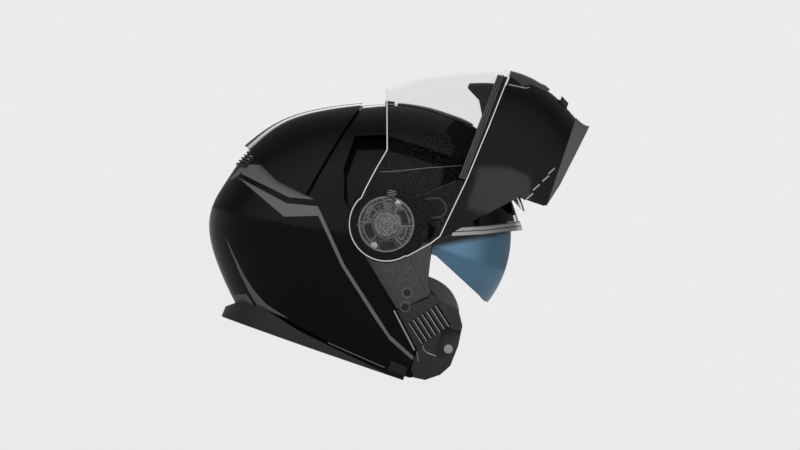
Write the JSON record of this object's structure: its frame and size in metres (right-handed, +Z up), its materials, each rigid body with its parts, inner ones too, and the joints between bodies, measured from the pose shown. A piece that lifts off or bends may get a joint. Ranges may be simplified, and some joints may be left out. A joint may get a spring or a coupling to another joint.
{
  "type": "modular motorcycle helmet",
  "caption": "Modular motorcycle helmet with flip-up chin bar, clear shield, drop-down sun visor, vents, liner and chin strap, its chin bar raised.",
  "frame": {"origin": "on the plane of the base rim, straight below the axis of chin bar and visor", "axes": "+X forward, +Y to the wearer's left, +Z up; the base rim lies on Z = 0"},
  "size_m": [0.3139, 0.252, 0.311],
  "materials": {
    "gloss_black": "clear-coated black paint on moulded shell",
    "matte_black": "satin moulded plastic",
    "grained_grey": "grained grey moulded plastic",
    "dark_grey": "semi-gloss dark grey moulded plastic",
    "rubber": "matt black rubber",
    "grey_rubber": "matt grey rubber",
    "foam": "beaded expanded foam, black",
    "fabric": "brushed grey knit",
    "webbing": "woven black webbing",
    "clear": "clear moulded shield",
    "smoke": "smoked translucent plastic",
    "blue_mirror": "blue mirror coat on a tinted lens",
    "steel": "turned steel",
    "chrome": "plated"
  },
  "bodies": {
    "helmet": {"outer_shell": "gloss_black", "crown_foam": "foam", "cheek_foam_right": "foam", "cheek_foam_left": "foam", "comfort_liner": "fabric", "cheek_pad_right": "fabric", "cheek_pad_left": "fabric", "neck_roll": "fabric", "base_trim": "rubber", "trim_cap_right": "matte_black", "trim_cap_left": "matte_black", "brow_trim": "matte_black", "rear_spoiler": "gloss_black", "exhaust_grille": "matte_black", "rear_lip": "dark_grey", "crown_vent": "dark_grey", "jaw_plate_right": "grained_grey", "jaw_plate_left": "grained_grey", "jaw_cover_right": "grained_grey", "jaw_cover_left": "grained_grey", "striker_pin_right": "steel", "striker_pin_left": "steel", "jaw_snaps": "matte_black", "pivot_pin_right": "steel", "pivot_pin_left": "steel", "sun_visor_pins": "matte_black", "strap_right": "webbing", "strap_left": "webbing", "strap_rivets": "steel", "strap_tongue": "matte_black", "buckle_housing": "steel", "buckle_pin": "steel"},
    "chin": {"chin_bar": "gloss_black", "chin_liner": "foam", "chin_skirt": "grey_rubber", "visor_seal": "rubber", "breath_guard": "matte_black", "chin_vent_cover": "dark_grey", "ratchet_plate_right": "smoke", "ratchet_plate_left": "smoke", "plate_screws": "chrome", "visor_hub_right": "dark_grey", "visor_hub_left": "dark_grey", "hook_pins": "steel"},
    "crown_slider": {"crown_vent_slider": "matte_black"},
    "sun_lens": {"sun_visor": "blue_mirror"},
    "sun_knob": {"sun_visor_slider": "matte_black"},
    "strap_lever": {"buckle_lever": "matte_black"},
    "chin_slider": {"chin_vent_slider": "matte_black"},
    "chin_button": {"release_button": "dark_grey"},
    "hook_right": {"latch_hook_right": "steel"},
    "hook_left": {"latch_hook_left": "steel"},
    "shield": {"visor": "clear"}
  },
  "joints": [
    {"name": "chin_bar_hinge", "type": "hinge", "parent": "helmet", "child": "chin", "pos_m": [0, 0, 0.1376], "axis": [0, 1, 0], "range_deg": [0, 90]},
    {"name": "visor_hinge", "type": "hinge", "parent": "chin", "child": "shield", "pos_m": [-0.0044, 0, 0.1339], "axis": [0, 1, 0], "range_deg": [-20, 0]},
    {"name": "sun_visor_hinge", "type": "hinge", "parent": "helmet", "child": "sun_lens", "pos_m": [0.0135, 0, 0.129], "axis": [0, 1, 0], "range_deg": [-45, 0]},
    {"name": "sun_visor_slide", "type": "slide", "parent": "helmet", "child": "sun_knob", "axis": [-0.9976, 0.0698, 0], "range_m": [0, 0.03]},
    {"name": "crown_vent_slide", "type": "slide", "parent": "helmet", "child": "crown_slider", "axis": [-0.9781, 0, -0.2079], "range_m": [0, 0.007]},
    {"name": "chin_vent_slide", "type": "slide", "parent": "chin", "child": "chin_slider", "axis": [-0.9762, 0, 0.217], "range_m": [0, 0.006]},
    {"name": "release_button_slide", "type": "slide", "parent": "chin", "child": "chin_button", "axis": [0, 0, -1], "range_m": [0, 0.0035], "stiffness_N_per_m": 600, "springref_m": -0.001},
    {"name": "latch_hook_right_hinge", "type": "hinge", "parent": "chin", "child": "hook_right", "pos_m": [0.0906, 0, 0.2446], "axis": [0, 1, 0], "range_deg": [0, 20]},
    {"name": "latch_hook_left_hinge", "type": "hinge", "parent": "chin", "child": "hook_left", "pos_m": [0.0906, 0, 0.2446], "axis": [0, 1, 0], "range_deg": [0, 20]},
    {"name": "strap_lever_hinge", "type": "hinge", "parent": "helmet", "child": "strap_lever", "pos_m": [0.016, 0.008, 0.0135], "axis": [1, 0, 0], "range_deg": [-25, 0], "stiffness_Nm_per_rad": 0.05, "springref_deg": 5.73}
  ],
  "couplings": [
    {"joint": "sun_visor_hinge", "follows": "sun_visor_slide", "rad_per_m": -26.17},
    {"joint": "latch_hook_right_hinge", "follows": "release_button_slide", "rad_per_m": 99.7},
    {"joint": "latch_hook_left_hinge", "follows": "release_button_slide", "rad_per_m": 99.7}
  ]
}
